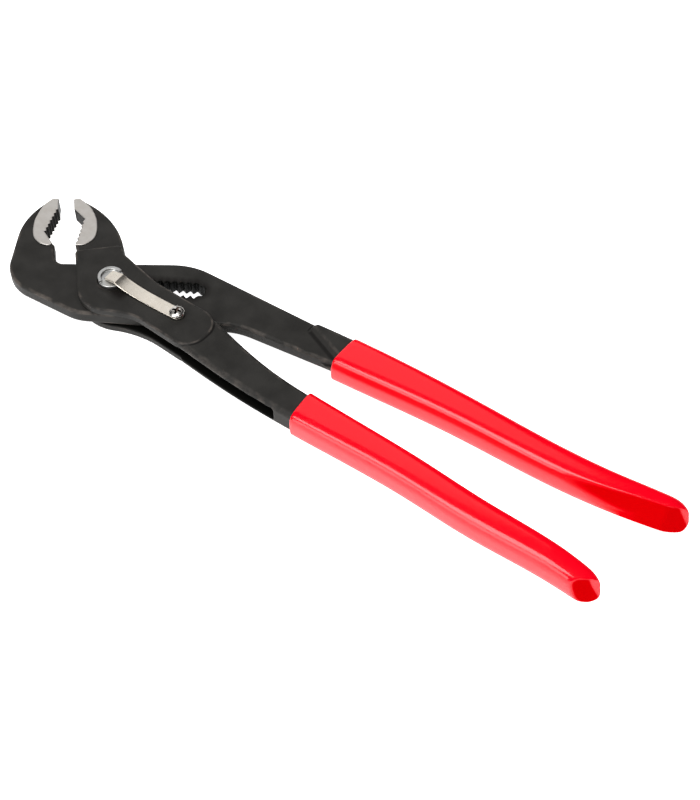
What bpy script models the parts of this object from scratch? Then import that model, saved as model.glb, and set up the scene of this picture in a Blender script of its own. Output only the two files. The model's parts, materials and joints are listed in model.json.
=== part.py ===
# Water pump pliers with a box joint: two forged arms, a toothed pivot pin, leaf spring, screw, two grips.
# Lengths are in millimetres on a drawing whose origin is the pivot, X to the handles, Z out of the front.
import math

import bmesh
import bpy
import numpy as np

# Units and where the pivot stands in the part frame
MM = 0.001
PIVOT_X = -97.93
PIVOT_Y = -16.0

# Fits
CLEAR = 0.3
COAT = 1.3
LAP = 0.5

# Thicknesses through the tool
PLATE_THICK = 6.2
CHEEK = 3.4
PAD_RAISE = 0.4
HANDLE_THICK = 10.6
JAW_THICK = 6.4
JAW_LAND_THICK = 7.2
SLOT_HALF = PLATE_THICK / 2 + CLEAR
PAD_HALF = SLOT_HALF + CHEEK
ARM_HALF = PAD_HALF - PAD_RAISE
PIVOT_Z = PAD_HALF

# Edge rounding
PAD_EDGE = 1.2
STEEL_EDGE = 2.2
PLATE_EDGE = 1.2
LAND_EDGE = 0.2

# Toothed adjusting slot
PITCH = 3.1
NOTCHES = 12
BACK_NOTCHES = 3
SLOT_ANGLE = math.radians(33.5)
TIP_HALF = 2.75
VALLEY_HALF = 4.5
SLOT_NOSE = 2.6
SLOT_NOSE_HALF = 1.2

# Pivot pin
PIN_RADIUS = 5.5
PIN_FLOOR = 1.0
RIM_HEIGHT = 1.0
RIM_WIDTH = 1.45
RIM_START = math.radians(72)
RIM_END = math.radians(260)
KEY_DEPTH = 3.0
TAIL_RADIUS = TIP_HALF - CLEAR

# Leaf spring and its screw
LEAF_WIDTH = 5.7
LEAF_THICK = 0.8
LEAF_RISE = 1.7
LEAF_BEND = 4.8
LEAF_TONGUE = 0.5
LEAF_NOSE = 0.6
LEAF_BLUNT = 2.4
LEAF_OFFSET = 0.05
LEAF_FLAT = 21.4
SCREW_X = 35.7
SCREW_Y = 2.5
SCREW_HEAD_RADIUS = 3.2
SCREW_HEAD_HEIGHT = 1.9
SCREW_DOME = 1.1
SCREW_SHANK_RADIUS = 1.5
SCREW_SHANK = 3.0
RECESS_ARM = 1.9
RECESS_WIDTH = 0.8
RECESS_DEPTH = 1.0

# Slot that splits the outer arm, and the turning range it leaves room for
SLOT_END = 97.0
SLOT_CORNER = 1.3
CUT_REACH = 34.0
APEX_RADIUS = 2.5
ROOT_RADIUS = 13.4
BAND_ANGLE = 127.5
CLOSE_TURN = 3.9
OPEN_TURN = 30.0

# Handles: spine height and steel width along X
OUTER_SPINE = (
    (48, 1.4), (65, -0.4), (83, -1.5), (103, -1.2), (130, 0.3),
    (160, 1.6), (190, 1.8), (220, 3.4), (247, 2.6),
)
OUTER_WIDTH = ((48, 19.5), (65, 17.2), (83, 15.2), (103, 13.9), (150, 11.6), (200, 10.3), (247, 7.0))
OUTER_GRIP_START = 105.1
OUTER_END = 242.6
INNER_SPINE = ((84, 29.5), (103, 32.0), (130, 35.4), (160, 38.3), (190, 40.3), (220, 43.9), (256, 52.0))
INNER_WIDTH = ((84, 14.6), (103, 14.9), (150, 12.6), (200, 10.8), (256, 8.5))
INNER_GRIP_START = 100.8
INNER_END = 251.7
END_CAP = 4.5
TANG_LAP = 4.0
BAR_START = 48.0
EASE_START = 45.0
EASE_LENGTH = 55.0
SHOULDER = (83.0, 36.9)
SHOULDER_FOOT = (81.9, 32.4)
SHOULDER_SLANT = math.radians(18)
SHOULDER_EDGE = 1.5

# Jaw teeth
TOOTH_DEPTH = 0.8
TEETH = 6

# Forged outlines: corners as x, y and corner radius
PAD_CORNERS = (
    (-23.5, 2.3, 1.4), (-10.8, 16.3, 1.5), (-5.3, 14.0, 3), (2.0, 13.5, 8), (16.5, 10.1, 14),
    (52.3, 11.7, 8.5), (52.0, -8.4, 8.5), (20.5, -8.4, 20), (0.5, -19.3, 11),
)
BAR_ROOT = ((44, -6.5), (44, 9.5))
JAW_CORNERS = (
    (-46.0, 27.2, 0), (-25.2, 28.6, 40), (-8.0, 15.7, 0), (-6, 8, 0), (-16, -1.5, 0),
    (-28.2, 6.9, 0), (-31.0, 13.5, 0), (-36.5, 22.0, 0),
)
PLATE_CORNERS = (
    (-57.3, 3.7, 30), (-37.7, -24.3, 12), (-1.5, -20.6, 20), (3.5, -17.4, 8), (56.6, 16.8, 28),
    (104, 26.4, 0), (104, 38.5, 0), (19.0, 30.1, 30), (-29.4, -8.0, 5.5), (-36.4, 0.3, 0),
    (-41, 1.0, 0), (-48, 5, 0), (-53.5, 16.5, 0), (-57.1, 14.5, 0),
)

# Ground jaw lands: a smooth back line, then the tip and the ends of the row of teeth
RIGHT_BACK = ((-28.3, 6.6), (-25.6, 9.6), (-25.6, 14.6), (-29.6, 21.1), (-37.8, 26.3), (-46.8, 27.9))
RIGHT_TIP = ((-48.9, 25.9), (-44.3, 21.6))
RIGHT_TEETH = ((-37.2, 20.6), (-29.4, 7.7))
LEFT_BACK = (
    (-56.3, 20.4), (-56.6, 15.2), (-54.9, 8.6), (-49.4, 1.3), (-43.9, -2.1), (-38.0, -1.2), (-36.2, 0.7),
)
LEFT_TIP = ((-54.3, 22.0),)
LEFT_TEETH = ((-50.4, 17.1), (-44.8, 3.9))


def curve_value(points, x):
    """Smooth cubic through the points, slopes from their neighbours."""
    xs = np.array([p[0] for p in points], float)
    ys = np.array([p[1] for p in points], float)
    slope = np.gradient(ys, xs)
    i = int(np.clip(np.searchsorted(xs, x) - 1, 0, len(xs) - 2))
    step = xs[i + 1] - xs[i]
    t = (x - xs[i]) / step
    value = (2 * t**3 - 3 * t**2 + 1) * ys[i] + (t**3 - 2 * t**2 + t) * step * slope[i]
    return value + (3 * t**2 - 2 * t**3) * ys[i + 1] + (t**3 - t**2) * step * slope[i + 1]


def through(points, count=5):
    """Smooth open line through a few points, with count steps in each span."""
    p = np.array(points, float)
    tangent = np.gradient(p, axis=0)
    line = [p[0]]
    for i in range(len(p) - 1):
        for k in range(1, count + 1):
            t = k / count
            a = (2 * t**3 - 3 * t**2 + 1) * p[i] + (t**3 - 2 * t**2 + t) * tangent[i]
            line.append(a + (3 * t**2 - 2 * t**3) * p[i + 1] + (t**3 - t**2) * tangent[i + 1])
    return [tuple(q) for q in line]


def filleted(corners, turn=math.radians(9)):
    """Closed outline from (x, y, radius) corners, each corner replaced by its arc."""
    outline = []
    n = len(corners)
    for i in range(n):
        c = np.array(corners[i][:2], float)
        radius = corners[i][2]
        before = np.array(corners[i - 1][:2], float) - c
        after = np.array(corners[(i + 1) % n][:2], float) - c
        before /= np.linalg.norm(before)
        after /= np.linalg.norm(after)
        if radius == 0:
            outline.append(tuple(c))
            continue
        bend = math.pi - math.acos(float(np.clip(before @ after, -1, 1)))
        cut = radius * math.tan(bend / 2)
        middle = (before + after) / np.linalg.norm(before + after)
        centre = c + middle * radius / math.cos(bend / 2)
        start = c + before * cut - centre
        side = np.sign(before[0] * after[1] - before[1] * after[0])
        steps = max(2, math.ceil(bend / turn))
        for k in range(steps + 1):
            a = -side * bend * k / steps
            x = start[0] * math.cos(a) - start[1] * math.sin(a)
            y = start[0] * math.sin(a) + start[1] * math.cos(a)
            outline.append((centre[0] + x, centre[1] + y))
    return outline


def ring(x, y, radius, count=40):
    """Circle outline."""
    angles = np.linspace(0, 2 * math.pi, count, endpoint=False)
    return [(x + radius * math.cos(a), y + radius * math.sin(a)) for a in angles]


def toothed(start, end, depth, count):
    """Row of teeth between two points, cut to the left of the way from start to end."""
    a = np.array(start, float)
    b = np.array(end, float)
    along = (b - a) / count
    left = np.array((-along[1], along[0])) / np.linalg.norm(along)
    line = []
    for k in range(count):
        line.append(tuple(a + along * k))
        line.append(tuple(a + along * (k + 0.3) + left * depth))
    line.append(tuple(b))
    return line


def area(outline):
    """Signed area, positive when the outline runs anticlockwise."""
    p = np.array(outline)
    q = np.roll(p, -1, axis=0)
    return float(np.sum(p[:, 0] * q[:, 1] - q[:, 0] * p[:, 1]) / 2)


def place(name, mesh, collection):
    """Object at the pivot of the part frame, in one collection."""
    obj = bpy.data.objects.new(name, mesh)
    obj.location = (PIVOT_X * MM, PIVOT_Y * MM, PIVOT_Z * MM)
    collection.objects.link(obj)
    return obj


def inset(outline, depth):
    """Outline moved inward by depth, corners kept sharp."""
    p = np.array(outline, float)
    step = np.roll(p, -1, axis=0) - p
    step /= np.linalg.norm(step, axis=1)[:, None]
    normal = np.stack((-step[:, 1], step[:, 0]), axis=1)
    before = np.roll(normal, 1, axis=0)
    reach = 1 + np.sum(normal * before, axis=1)
    return p + depth * (normal + before) / reach[:, None]


def slab(name, outline, low, high, collection, edge=0.0, segments=3, half_at=None):
    """Plate with a drawn outline; both rims rounded by edge; half_at(x) sets a half thickness that tapers."""
    if area(outline) < 0:
        outline = outline[::-1]
    levels = [(0.0, low), (0.0, high)]
    if edge:
        quarter = [math.pi / 2 * k / segments for k in range(segments + 1)]
        rising = [(edge * (1 - math.sin(a)), edge * (1 - math.cos(a))) for a in quarter]
        levels = [(depth, low + z) for depth, z in rising] + [(depth, high - z) for depth, z in rising[::-1]]
    bm = bmesh.new()
    rings = []
    for depth, z in levels:
        rings.append([bm.verts.new((x, y, z)) for x, y in inset(outline, depth)])
    bm.faces.new(rings[0][::-1])
    bm.faces.new(rings[-1])
    n = len(outline)
    for a, b in zip(rings, rings[1:]):
        for i in range(n):
            j = (i + 1) % n
            bm.faces.new((a[i], a[j], b[j], b[i]))
    for v in bm.verts:
        if half_at is not None:
            v.co.z *= half_at(v.co.x) / high
        v.co *= MM
    mesh = bpy.data.meshes.new(name)
    bm.to_mesh(mesh)
    bm.free()
    return place(name, mesh, collection)


def combine(target, tool, operation):
    """Boolean of a hidden cutting or adding body on a piece."""
    tool.hide_render = True
    tool.display_type = "WIRE"
    mod = target.modifiers.new(tool.name, "BOOLEAN")
    mod.operation = operation
    mod.solver = "EXACT"
    mod.object = tool


def handle_edges(spine, width, x, grow):
    """Upper and lower edge points of a handle, square to its spine at x."""
    y = curve_value(spine, x)
    slope = curve_value(spine, x + 0.5) - curve_value(spine, x - 0.5)
    half = (curve_value(width, x) / 2 + grow) / math.hypot(1, slope)
    return (x - half * slope, y + half), (x + half * slope, y - half)


def handle_outline(spine, width, start, end, grow):
    """Bar along a handle spine from start to a rounded end, its half width grown all round."""
    stop = end - END_CAP
    count = max(4, round((stop - start) / 9))
    pairs = [handle_edges(spine, width, x, grow) for x in np.linspace(start, stop, count)]
    upper = np.array(pairs[-1][0])
    lower = np.array(pairs[-1][1])
    middle = (upper + lower) / 2
    across = (upper - lower) / 2
    along = np.array((across[1], -across[0])) / np.linalg.norm(across)
    cap = []
    for a in np.linspace(math.pi / 2, -math.pi / 2, 13)[1:-1]:
        cap.append(tuple(middle + along * (END_CAP + grow) * math.cos(a) + across * math.sin(a)))
    return [pair[0] for pair in pairs] + cap + [pair[1] for pair in pairs[::-1]]


def paint(obj, name, colour, roughness, metallic):
    """Own Principled material for one piece."""
    material = bpy.data.materials.new(name)
    material.use_nodes = True
    shader = material.node_tree.nodes["Principled BSDF"]
    shader.inputs["Base Color"].default_value = (*colour, 1)
    shader.inputs["Roughness"].default_value = roughness
    shader.inputs["Metallic"].default_value = metallic
    obj.data.materials.append(material)


# Clean start
for old in list(bpy.data.objects):
    bpy.data.objects.remove(old, do_unlink=True)
parts = bpy.data.collections.new("water_pump_pliers")
bpy.context.scene.collection.children.link(parts)
tools = bpy.data.collections.new("cutters")
bpy.context.scene.collection.children.link(tools)


# Outer arm: cheeks and joint pad
outer_arm = slab("outer_arm", filleted(PAD_CORNERS), -PAD_HALF, PAD_HALF, parts, PAD_EDGE)


# Outer arm: handle bar, its thickness easing down to the tang
def outer_half(x):
    """Half thickness of the bar, eased from the joint to the tang."""
    t = float(np.clip((x - EASE_START) / EASE_LENGTH, 0, 1))
    return ARM_HALF + (HANDLE_THICK / 2 - ARM_HALF) * t * t * (3 - 2 * t)


bar_stations = np.linspace(BAR_START, OUTER_GRIP_START - CLEAR, 9)
bare = [handle_edges(OUTER_SPINE, OUTER_WIDTH, x, 0) for x in bar_stations]
bar_outline = list(BAR_ROOT) + [pair[0] for pair in bare] + [pair[1] for pair in bare[::-1]]
outer_bar = slab("outer_bar", bar_outline, -ARM_HALF, ARM_HALF, tools, STEEL_EDGE, 3, outer_half)
outer_tang_line = handle_outline(OUTER_SPINE, OUTER_WIDTH, OUTER_GRIP_START - TANG_LAP, OUTER_END, -CLEAR)
outer_tang = slab("outer_tang", outer_tang_line, CLEAR - HANDLE_THICK / 2, HANDLE_THICK / 2 - CLEAR, tools,
                  STEEL_EDGE - CLEAR)
combine(outer_arm, outer_bar, "UNION")
combine(outer_arm, outer_tang, "UNION")

# Outer arm: black jaw body
right_jaw = slab("right_jaw", filleted(JAW_CORNERS), -JAW_THICK / 2, JAW_THICK / 2, tools, PLATE_EDGE)
combine(outer_arm, right_jaw, "UNION")

# Outer arm: ground jaw land with its teeth
right_face = list(RIGHT_TIP) + toothed(*RIGHT_TEETH, TOOTH_DEPTH, TEETH)
right_land = slab("right_land", through(RIGHT_BACK) + right_face, -JAW_LAND_THICK / 2, JAW_LAND_THICK / 2,
                  tools, LAND_EDGE, 1)
combine(outer_arm, right_land, "UNION")


# Outer arm: the long slot between the cheeks, stopping at the jaw root and rounded at the handle end
def edge_line(angle, reach):
    """Point on the line that lies ROOT_RADIUS from the pivot, its normal at angle, reach along it."""
    a = math.radians(angle)
    return ROOT_RADIUS * math.cos(a) - reach * math.sin(a), ROOT_RADIUS * math.sin(a) + reach * math.cos(a)


closed_normal = BAND_ANGLE - CLOSE_TURN
open_normal = BAND_ANGLE + OPEN_TURN
apex_angle = math.radians((closed_normal + open_normal) / 2)
apex_reach = ROOT_RADIUS / math.cos(math.radians((open_normal - closed_normal) / 2))
apex = (apex_reach * math.cos(apex_angle), apex_reach * math.sin(apex_angle))
slot_corners = (
    (*edge_line(open_normal, -CUT_REACH), 0), (*apex, APEX_RADIUS), (*edge_line(closed_normal, CUT_REACH), 0),
    (-CUT_REACH, -CUT_REACH, 0), (SLOT_END, -CUT_REACH, 0), (SLOT_END, CUT_REACH, 0),
)
long_slot = slab("long_slot", filleted(slot_corners), -SLOT_HALF, SLOT_HALF, tools)
rounding = bmesh.new()
rounding.from_mesh(long_slot.data)
ends = [e for e in rounding.edges if all(abs(v.co.x - SLOT_END * MM) < 1e-6 for v in e.verts)
        and abs(e.verts[0].co.z - e.verts[1].co.z) < 1e-6]
bmesh.ops.bevel(rounding, geom=ends, offset=SLOT_CORNER * MM, segments=4, profile=0.5, affect="EDGES")
rounding.to_mesh(long_slot.data)
rounding.free()
combine(outer_arm, long_slot, "DIFFERENCE")

# Outer arm: pin bores and screw hole
screw_bore = ring(SCREW_X, SCREW_Y, SCREW_SHANK_RADIUS + CLEAR, 24)
head_bore = slab("head_bore", ring(0, 0, PIN_RADIUS + CLEAR, 48), 0, PAD_HALF + CHEEK, tools)
tail_bore = slab("tail_bore", ring(0, 0, TAIL_RADIUS + CLEAR, 32), -PAD_HALF - CHEEK, 0, tools)
screw_hole = slab("screw_hole", screw_bore, 0, PAD_HALF + CHEEK, tools)
for hole in (head_bore, tail_bore, screw_hole):
    combine(outer_arm, hole, "DIFFERENCE")


# Inner arm: flat plate from the hook jaw through the joint to the tang
inner_arm = slab("inner_arm", filleted(PLATE_CORNERS), -PLATE_THICK / 2, PLATE_THICK / 2, parts, PLATE_EDGE)

# Inner arm: thick tang behind the slanting shoulder
bare_end = INNER_GRIP_START - CLEAR
tang_high, tang_low = np.array(handle_edges(INNER_SPINE, INNER_WIDTH, bare_end, 0))
uphill = np.array((math.sin(SHOULDER_SLANT), math.cos(SHOULDER_SLANT)))
share = uphill @ (np.array(SHOULDER_FOOT) - tang_high) / (uphill @ (tang_low - tang_high))
foot_end = tang_high + share * (tang_low - tang_high)
corner = SHOULDER_EDGE + CLEAR
shoulder_line = filleted(((*tang_high, 0), (*SHOULDER, corner), (*SHOULDER_FOOT, corner), (*foot_end, 0)))
shoulder = slab("shoulder", shoulder_line, -HANDLE_THICK / 2, HANDLE_THICK / 2, tools, SHOULDER_EDGE)
inner_tang_line = handle_outline(INNER_SPINE, INNER_WIDTH, bare_end - LAP, INNER_END, -CLEAR)
inner_tang = slab("inner_tang", inner_tang_line, CLEAR - HANDLE_THICK / 2, HANDLE_THICK / 2 - CLEAR, tools,
                  STEEL_EDGE - CLEAR)
combine(inner_arm, shoulder, "UNION")
combine(inner_arm, inner_tang, "UNION")

# Inner arm: ground jaw land with its teeth
left_face = toothed(*LEFT_TEETH, -TOOTH_DEPTH, TEETH)[::-1] + list(LEFT_TIP)
left_land = slab("left_land", through(LEFT_BACK) + left_face, -JAW_LAND_THICK / 2, JAW_LAND_THICK / 2,
                 tools, LAND_EDGE, 1)
combine(inner_arm, left_land, "UNION")


# Inner arm: adjusting slot, toothed along both sides
def turned(points):
    """Points along the slot turned to the slot's slant."""
    c = math.cos(SLOT_ANGLE)
    s = math.sin(SLOT_ANGLE)
    return [(x * c - y * s, x * s + y * c) for x, y in points]


def rack(first, last, shrink):
    """Toothed strip along X: tips at whole pitches from first to last, sides moved in by shrink."""
    side = []
    for k in range(2 * first, 2 * last + 1):
        half = TIP_HALF if k % 2 == 0 else VALLEY_HALF
        side.append((k * PITCH / 2, half - shrink))
    return side + [(x, -y) for x, y in side[::-1]]


slot_back = -BACK_NOTCHES * PITCH - SLOT_NOSE
slot_front = NOTCHES * PITCH + SLOT_NOSE
teeth = rack(-BACK_NOTCHES, NOTCHES, 0)
middle = len(teeth) // 2
slot_outline = [(slot_back, -SLOT_NOSE_HALF), (slot_back, SLOT_NOSE_HALF)] + teeth[:middle]
slot_outline = slot_outline + [(slot_front, SLOT_NOSE_HALF), (slot_front, -SLOT_NOSE_HALF)] + teeth[middle:]
adjust_slot = slab("adjust_slot", turned(slot_outline), -PLATE_THICK, PLATE_THICK, tools)
combine(inner_arm, adjust_slot, "DIFFERENCE")


# Pivot pin: head, C rim, toothed key and tail
head_low = SLOT_HALF
head_top = PAD_HALF + PIN_FLOOR
pivot_pin = slab("pivot_pin", ring(0, 0, PIN_RADIUS, 48), head_low, head_top, parts)
sweep = np.linspace(RIM_START, RIM_END, 28)
pocket = PIN_RADIUS - RIM_WIDTH
rim_outer = [(PIN_RADIUS * math.cos(a), PIN_RADIUS * math.sin(a)) for a in sweep]
rim_inner = [(pocket * math.cos(a), pocket * math.sin(a)) for a in sweep[::-1]]
rim = slab("rim", rim_outer + rim_inner, head_top - LAP, head_top + RIM_HEIGHT, tools)
key_normal = CLEAR * math.hypot(PITCH / 2, VALLEY_HALF - TIP_HALF) / (PITCH / 2)
key = slab("key", turned(rack(-3, 3, key_normal)), PLATE_THICK / 2 - KEY_DEPTH, head_low + LAP, tools)
key_round = slab("key_round", ring(0, 0, PIN_RADIUS - CLEAR, 48), -PLATE_THICK, PAD_HALF, tools)
combine(key, key_round, "INTERSECT")
tail = slab("tail", ring(0, 0, TAIL_RADIUS, 32), CLEAR - PAD_HALF, head_low + 2 * LAP, tools)
for piece in (rim, key, tail):
    combine(pivot_pin, piece, "UNION")


# Leaf spring: a bowed strip from the screw to its tongue in the pin's pocket
def leaf_height(x):
    """Underside of the leaf above the pad face, highest at the bend beside the pin."""
    flat = CLEAR
    tongue = PIN_FLOOR + CLEAR
    if x < LEAF_BEND:
        return tongue + LEAF_RISE * (x + LEAF_TONGUE) / (LEAF_BEND + LEAF_TONGUE)
    t = min(1, (x - LEAF_BEND) / (SCREW_X - LEAF_FLAT - LEAF_BEND))
    return flat + (tongue + LEAF_RISE - flat) * (1 - t) ** 2


leaf_slope = (SCREW_Y - LEAF_OFFSET) / SCREW_X
half = LEAF_WIDTH / 2
tongue_stations = np.linspace(-LEAF_TONGUE, LEAF_BEND, 6)
curl_stations = np.linspace(LEAF_BEND, SCREW_X - LEAF_FLAT, 9)[1:]
leaf_bm = bmesh.new()
rows = []
for x in (*tongue_stations, *curl_stations, SCREW_X - half):
    reach = max(0.0, 1 - (x + LEAF_TONGUE) / LEAF_NOSE)
    w = half * math.sqrt(1 - reach**2 / LEAF_BLUNT)
    y = LEAF_OFFSET + leaf_slope * x
    z = PAD_HALF + leaf_height(x)
    rows.append([leaf_bm.verts.new(corner) for corner in ((x, y - w, z), (x, y + w, z))])
for a, b in zip(rows, rows[1:]):
    leaf_bm.faces.new((a[0], b[0], b[1], a[1]))
eye = [leaf_bm.verts.new((SCREW_X + half * math.cos(a), SCREW_Y + half * math.sin(a), PAD_HALF + CLEAR))
       for a in np.linspace(-math.pi / 2, math.pi / 2, 13)]
leaf_bm.faces.new([rows[-1][0]] + eye + [rows[-1][1]])
for v in leaf_bm.verts:
    v.co *= MM
leaf_mesh = bpy.data.meshes.new("leaf_spring")
leaf_bm.to_mesh(leaf_mesh)
leaf_bm.free()
leaf_spring = place("leaf_spring", leaf_mesh, parts)
thick = leaf_spring.modifiers.new("thickness", "SOLIDIFY")
thick.thickness = LEAF_THICK * MM
thick.offset = 1
leaf_hole = slab("leaf_hole", screw_bore, PAD_HALF - LEAF_THICK, PAD_HALF + 3 * LEAF_THICK, tools)
combine(leaf_spring, leaf_hole, "DIFFERENCE")

# Spring screw: pan head with a cross recess, and its shank
seat = PAD_HALF + CLEAR + LEAF_THICK + CLEAR
screw_top = seat + SCREW_HEAD_HEIGHT
spring_screw = slab("spring_screw", ring(SCREW_X, SCREW_Y, SCREW_HEAD_RADIUS, 40), seat, screw_top, parts)
dome = bmesh.new()
dome.from_mesh(spring_screw.data)
crown = [e for e in dome.edges if all(v.co.z > (seat + SCREW_HEAD_HEIGHT / 2) * MM for v in e.verts)]
bmesh.ops.bevel(dome, geom=crown, offset=SCREW_DOME * MM, segments=4, profile=0.5, affect="EDGES")
dome.to_mesh(spring_screw.data)
dome.free()
shank_ring = ring(SCREW_X, SCREW_Y, SCREW_SHANK_RADIUS, 24)
shank = slab("shank", shank_ring, PAD_HALF - SCREW_SHANK, seat + LAP, tools)
combine(spring_screw, shank, "UNION")
for k in range(2):
    turn = math.radians(20 + 90 * k)
    u = np.array((math.cos(turn), math.sin(turn)))
    v = np.array((-u[1], u[0]))
    centre = np.array((SCREW_X, SCREW_Y))
    cross = [tuple(centre + sx * RECESS_ARM * u + sy * RECESS_WIDTH / 2 * v)
             for sx, sy in ((-1, -1), (1, -1), (1, 1), (-1, 1))]
    floor = screw_top - RECESS_DEPTH - 0.01 * k
    recess = slab("recess_%d" % k, cross, floor, screw_top + RECESS_DEPTH, tools)
    combine(spring_screw, recess, "DIFFERENCE")


# Dipped grips: the coat follows the steel all round and closes over its end
def dipped(name, spine, width, start, end):
    """Sleeve whose bore is the bare steel's size; the tang inside is smaller by the clearance."""
    outside = handle_outline(spine, width, start, end, COAT)
    grip = slab(name, outside, -HANDLE_THICK / 2 - COAT, HANDLE_THICK / 2 + COAT, parts, STEEL_EDGE + COAT, 4)
    inside = handle_outline(spine, width, start - TANG_LAP, end, 0)
    bore = slab(name + "_bore", inside, -HANDLE_THICK / 2, HANDLE_THICK / 2, tools, STEEL_EDGE)
    combine(grip, bore, "DIFFERENCE")
    return grip


outer_grip = dipped("outer_grip", OUTER_SPINE, OUTER_WIDTH, OUTER_GRIP_START, OUTER_END)
inner_grip = dipped("inner_grip", INNER_SPINE, INNER_WIDTH, INNER_GRIP_START, INNER_END)


# Assembly: each piece hangs on the one that carries it, all with their origin on the pivot
carried = (
    (outer_grip, outer_arm), (leaf_spring, outer_arm), (spring_screw, outer_arm), (pivot_pin, outer_arm),
    (inner_arm, pivot_pin), (inner_grip, inner_arm),
)
for piece, carrier in carried:
    piece.parent = carrier
    piece.location = (0, 0, 0)


# Looks
paint(outer_arm, "outer_arm_black", (0.035, 0.032, 0.031), 0.5, 0.6)
paint(inner_arm, "inner_arm_black", (0.036, 0.033, 0.032), 0.5, 0.6)
paint(pivot_pin, "pin_zinc", (0.52, 0.53, 0.55), 0.35, 0.9)
paint(leaf_spring, "leaf_bright", (0.68, 0.62, 0.54), 0.32, 0.9)
paint(spring_screw, "screw_plated", (0.62, 0.6, 0.57), 0.3, 0.9)
paint(outer_grip, "outer_grip_red", (0.95, 0.03, 0.05), 0.2, 0.0)
paint(inner_grip, "inner_grip_red", (0.95, 0.03, 0.05), 0.2, 0.0)
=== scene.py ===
import json
import math

import bmesh
import bpy
import numpy as np
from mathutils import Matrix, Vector


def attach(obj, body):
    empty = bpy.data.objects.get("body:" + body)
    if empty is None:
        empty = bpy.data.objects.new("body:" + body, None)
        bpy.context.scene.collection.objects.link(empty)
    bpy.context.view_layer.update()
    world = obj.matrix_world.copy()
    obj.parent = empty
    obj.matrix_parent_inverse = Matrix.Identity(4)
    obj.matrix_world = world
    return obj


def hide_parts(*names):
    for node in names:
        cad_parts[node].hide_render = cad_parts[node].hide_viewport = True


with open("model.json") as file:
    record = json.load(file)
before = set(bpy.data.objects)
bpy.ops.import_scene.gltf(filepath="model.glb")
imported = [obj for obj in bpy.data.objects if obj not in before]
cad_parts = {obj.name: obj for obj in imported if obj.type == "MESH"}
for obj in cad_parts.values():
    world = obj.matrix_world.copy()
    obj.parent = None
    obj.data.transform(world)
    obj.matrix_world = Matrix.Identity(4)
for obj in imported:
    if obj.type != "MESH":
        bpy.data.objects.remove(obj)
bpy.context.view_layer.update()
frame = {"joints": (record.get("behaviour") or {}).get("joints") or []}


# Outer arm: a drop-forged, blackened steel lever. A long slot splits it into two cheeks that the inner arm
# passes between, a raised round pad stiffens the joint on both faces, and the bar behind it runs on as the
# tang inside the grip. All lengths are millimetres from the pivot, X to the handles, Z out of the front face.
MM = 0.001
pivot = np.array(next(j["pos_m"] for j in frame["joints"] if j["name"] == "jaw_pivot"))
forging_step = 0.4
outer_box = ((-50, -22, -8), (112, 32, 8))
pad_half = 6.8
pad_rim = 0.6
pad_soft = 0.1
let_out = 0.3
cheek_gap = 3.4
bar_root = ((44, -6.5), (44, 9.5))
bar_run = (48, 110)
bar_front = 6.4
bar_rim = 2.2
bar_soft = 0.5
ease_start = 45
ease_length = 55
tang_half = 5.3
jaw_half = 3.2
jaw_rim = 0.7
jaw_soft = 1.0
cut_soft = 0.3
slot_end = 97.0
slot_corner = 1.3
slot_reach = 34
web_radius = 14.0
web_normals = (123.6, 157.5)
web_round = 2.5
pin_bore = 5.8
tail_bore = 2.75
screw_spot = (35.7, 2.5)
screw_bore = 1.8
screw_soft = 0.2
# Painted shadow on the pad beside the pin, where the leaf spring shades it: its middle, half sizes and depth
# below the pad's top.
leaf_shadow_spot = (5.5, -3.0)
leaf_shadow_half = (4.5, 2.0)
leaf_shadow_deep = 1
oxide_dark = (0.0172, 0.0164, 0.0151)
oxide_pale = (0.0255, 0.0243, 0.0225)
rubbed_edge = (0.070, 0.060, 0.053)
# Painted shade for concave corners.
painted_corner_shade = (0.006, 0.0055, 0.005)
# Painted shadow under the leaf spring beside the pin and in the inner arm's slot.
painted_shadow_black = (0.006, 0.005, 0.0045)
tan_mark = (0.14, 0.10, 0.078)
# Painted shade inside the slots.
painted_slot_shade = (0.003, 0.003, 0.0025)
outer_spine = (
    (48, 1.4), (65, -0.4), (83, -1.5), (103, -1.2), (130, 0.3),
    (160, 1.6), (190, 1.8), (220, 3.4), (247, 2.6),
)
outer_width = ((48, 19.5), (65, 17.2), (83, 15.2), (103, 13.9), (150, 11.6), (200, 10.3), (247, 7.0))
outer_end = 242.6
cheek_corners = (
    (-23.5, 2.3, 1.4), (-10.8, 16.3, 1.5), (-5.0, 13.7, 3), (1.5, 12.65, 10), (16.5, 10.4, 14),
    (52.3, 11.7, 8.5),
)
front_corners = (*cheek_corners, (52.0, -8.4, 8.5), (20.5, -8.4, 20), (0.5, -19.3, 13))
back_corners = (*cheek_corners, (52.0, -7.3, 8.5), (22.3, -7.25, 45), (-0.5, -19.1, 19.3))
outer_jaw_corners = (
    (-43.5, 28.35, 0), (-24.8, 28.65, 42), (-8.0, 16.0, 0), (-6, 8, 0), (-16, -1.5, 0),
    (-28.2, 6.9, 0), (-31.0, 13.5, 0), (-36.5, 22.0, 0),
)


def rounded(corners, turn=math.radians(3)):
    """Outline of straight edges, each corner (x, y, r) cut off by the arc of radius r that touches both its
    edges."""
    outline = []
    for i, (x, y, r) in enumerate(corners):
        corner = np.array((x, y), float)
        back = np.array(corners[i - 1][:2]) - corner
        ahead = np.array(corners[(i + 1) % len(corners)][:2]) - corner
        back = back / np.linalg.norm(back)
        ahead = ahead / np.linalg.norm(ahead)
        bend = math.pi - math.acos(float(back @ ahead))
        side = np.sign(back[0] * ahead[1] - back[1] * ahead[0])
        middle = (back + ahead) / np.linalg.norm(back + ahead)
        centre = corner + middle * r / math.cos(bend / 2)
        first = corner + back * r * math.tan(bend / 2) - centre
        a = -side * np.linspace(0, bend, max(2, math.ceil(bend / turn)) if r else 1)
        c, s = np.cos(a), np.sin(a)
        arc = np.stack((first[0] * c - first[1] * s, first[0] * s + first[1] * c), 1)
        outline.append(centre + arc)
    return np.concatenate(outline)


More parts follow.
